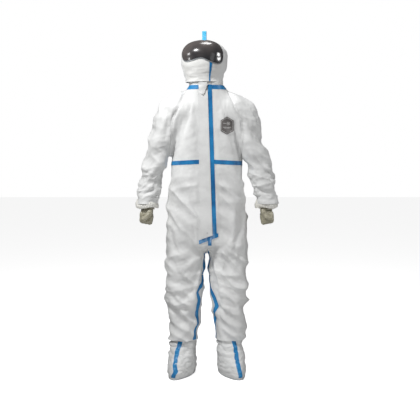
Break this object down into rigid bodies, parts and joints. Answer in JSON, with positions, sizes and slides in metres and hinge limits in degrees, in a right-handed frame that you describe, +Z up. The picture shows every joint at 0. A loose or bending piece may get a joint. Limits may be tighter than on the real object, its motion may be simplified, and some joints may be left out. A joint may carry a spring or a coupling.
{
  "type": "chemical protective suit",
  "caption": "Hooded protective coverall of white laminated nonwoven with taped blue seams, a built-in visor, a storm flap over the zip, gloves and boot covers.",
  "frame": {"origin": "inside of the top of the hanging loop on the crown, where a hook carries the suit", "axes": "+Z up, the front of the suit faces -Y, +X towards the wearer's left"},
  "size_m": [0.77, 0.3164, 1.8496],
  "materials": {
    "white_laminate": "laminated nonwoven, finely embossed, satin",
    "blue_tape": "heat-sealed film tape, semi-gloss",
    "smoked_lens": "smoked, polished",
    "clear_gasket": "translucent soft elastomer",
    "loop_webbing": "woven webbing",
    "badge_patch": "printed film label",
    "latex": "natural latex, satin",
    "knit_cuff": "rib knit",
    "elastic": "woven elastic",
    "zip_tape": "woven polyester tape",
    "zip_coil": "moulded nylon",
    "zip_slider": "cast, lacquered",
    "boot_sole": "ribbed anti-slip coating"
  },
  "bodies": {
    "root": {"hood_left": "white_laminate", "hood_right": "white_laminate", "face_left": "white_laminate", "face_right": "white_laminate", "hood_seam_tape": "blue_tape", "visor": "smoked_lens", "visor_gasket": "clear_gasket", "hang_loop": "loop_webbing"},
    "torso": {"neck_collar": "white_laminate", "upper_front_left": "white_laminate", "upper_front_right": "white_laminate", "upper_back": "white_laminate", "lower_front_left": "white_laminate", "lower_front_right": "white_laminate", "lower_back": "white_laminate", "left_shoulder": "white_laminate", "right_shoulder": "white_laminate", "neck_tape": "blue_tape", "waist_tape": "blue_tape", "waist_elastic": "elastic", "zip_tapes": "zip_tape", "zip_coil": "zip_coil", "zip_stops": "zip_coil", "flap_seam_tape": "blue_tape", "flap_end_tape": "blue_tape", "crotch_tape": "blue_tape", "chest_badge": "badge_patch", "left_shoulder_fold": "white_laminate", "right_shoulder_fold": "white_laminate", "left_hip_fold": "white_laminate", "right_hip_fold": "white_laminate"},
    "zip_slider": {"zip_slider": "zip_slider"},
    "storm_flap": {"storm_flap": "white_laminate"},
    "chin_tab": {"chin_tab": "white_laminate"},
    "left_upper_arm": {"left_upper_sleeve": "white_laminate", "left_elbow_fold": "white_laminate"},
    "left_forearm": {"left_forearm_sleeve": "white_laminate", "left_cuff_elastic": "elastic"},
    "left_hand": {"left_inner_cuff": "knit_cuff", "left_glove": "latex"},
    "left_thigh": {"left_thigh": "white_laminate", "left_knee_fold": "white_laminate"},
    "left_shin": {"left_shin": "white_laminate", "left_leg_tape": "blue_tape"},
    "left_foot": {"left_boot": "white_laminate", "left_boot_sole": "boot_sole", "left_boot_tape": "blue_tape"},
    "right_upper_arm": {"right_upper_sleeve": "white_laminate", "right_elbow_fold": "white_laminate"},
    "right_forearm": {"right_forearm_sleeve": "white_laminate", "right_cuff_elastic": "elastic"},
    "right_hand": {"right_inner_cuff": "knit_cuff", "right_glove": "latex"},
    "right_thigh": {"right_thigh": "white_laminate", "right_knee_fold": "white_laminate"},
    "right_shin": {"right_shin": "white_laminate", "right_leg_tape": "blue_tape"},
    "right_foot": {"right_boot": "white_laminate", "right_boot_sole": "boot_sole", "right_boot_tape": "blue_tape"}
  },
  "joints": [
    {"name": "neck_tilt", "type": "hinge", "parent": "root", "child": "torso", "pos_m": [0.012, 0, -0.27], "axis": [1, 0, 0], "range_deg": [-8, 15], "deforming": ["neck_collar"]},
    {"name": "flap_open", "type": "hinge", "parent": "torso", "child": "storm_flap", "pos_m": [0.017, -0.1003, -0.288], "axis": [-0.0331, 0.0368, 0.9988], "range_deg": [0, 150]},
    {"name": "tab_lift", "type": "hinge", "parent": "storm_flap", "child": "chin_tab", "pos_m": [-0.009, -0.1032, -0.2832], "axis": [-1, 0, 0], "range_deg": [0, 90]},
    {"name": "zip_slide", "type": "slide", "parent": "torso", "child": "zip_slider", "axis": [0.0331, -0.0368, -0.9988], "range_m": [0, 0.7]},
    {"name": "left_shoulder_lift", "type": "hinge", "parent": "torso", "child": "left_upper_arm", "pos_m": [0.237, 0, -0.528], "axis": [0, -1, 0], "range_deg": [0, 65], "deforming": ["left_shoulder_fold"]},
    {"name": "left_elbow_bend", "type": "hinge", "parent": "left_upper_arm", "child": "left_forearm", "pos_m": [0.315, 0, -0.743], "axis": [-1, 0, 0], "range_deg": [0, 60], "deforming": ["left_elbow_fold"]},
    {"name": "left_wrist_bend", "type": "hinge", "parent": "left_forearm", "child": "left_hand", "pos_m": [0.335, 0, -0.913], "axis": [1, 0, 0], "range_deg": [-20, 20]},
    {"name": "left_hip_swing", "type": "hinge", "parent": "torso", "child": "left_thigh", "pos_m": [0.127, -0.01, -1.133], "axis": [-1, 0, 0], "range_deg": [-10, 35], "deforming": ["left_hip_fold"]},
    {"name": "left_knee_bend", "type": "hinge", "parent": "left_thigh", "child": "left_shin", "pos_m": [0.126, 0.02, -1.393], "axis": [1, 0, 0], "range_deg": [0, 60], "deforming": ["left_knee_fold"]},
    {"name": "left_ankle_bend", "type": "hinge", "parent": "left_shin", "child": "left_foot", "pos_m": [0.139, 0, -1.663], "axis": [1, 0, 0], "range_deg": [-12, 15]},
    {"name": "right_shoulder_lift", "type": "hinge", "parent": "torso", "child": "right_upper_arm", "pos_m": [-0.213, 0, -0.528], "axis": [0, 1, 0], "range_deg": [0, 65], "deforming": ["right_shoulder_fold"]},
    {"name": "right_elbow_bend", "type": "hinge", "parent": "right_upper_arm", "child": "right_forearm", "pos_m": [-0.291, 0, -0.743], "axis": [-1, 0, 0], "range_deg": [0, 60], "deforming": ["right_elbow_fold"]},
    {"name": "right_wrist_bend", "type": "hinge", "parent": "right_forearm", "child": "right_hand", "pos_m": [-0.311, 0, -0.913], "axis": [1, 0, 0], "range_deg": [-20, 20]},
    {"name": "right_hip_swing", "type": "hinge", "parent": "torso", "child": "right_thigh", "pos_m": [-0.103, -0.01, -1.133], "axis": [-1, 0, 0], "range_deg": [-10, 35], "deforming": ["right_hip_fold"]},
    {"name": "right_knee_bend", "type": "hinge", "parent": "right_thigh", "child": "right_shin", "pos_m": [-0.102, 0.02, -1.393], "axis": [1, 0, 0], "range_deg": [0, 60], "deforming": ["right_knee_fold"]},
    {"name": "right_ankle_bend", "type": "hinge", "parent": "right_shin", "child": "right_foot", "pos_m": [-0.115, 0, -1.663], "axis": [1, 0, 0], "range_deg": [-12, 15]}
  ]
}
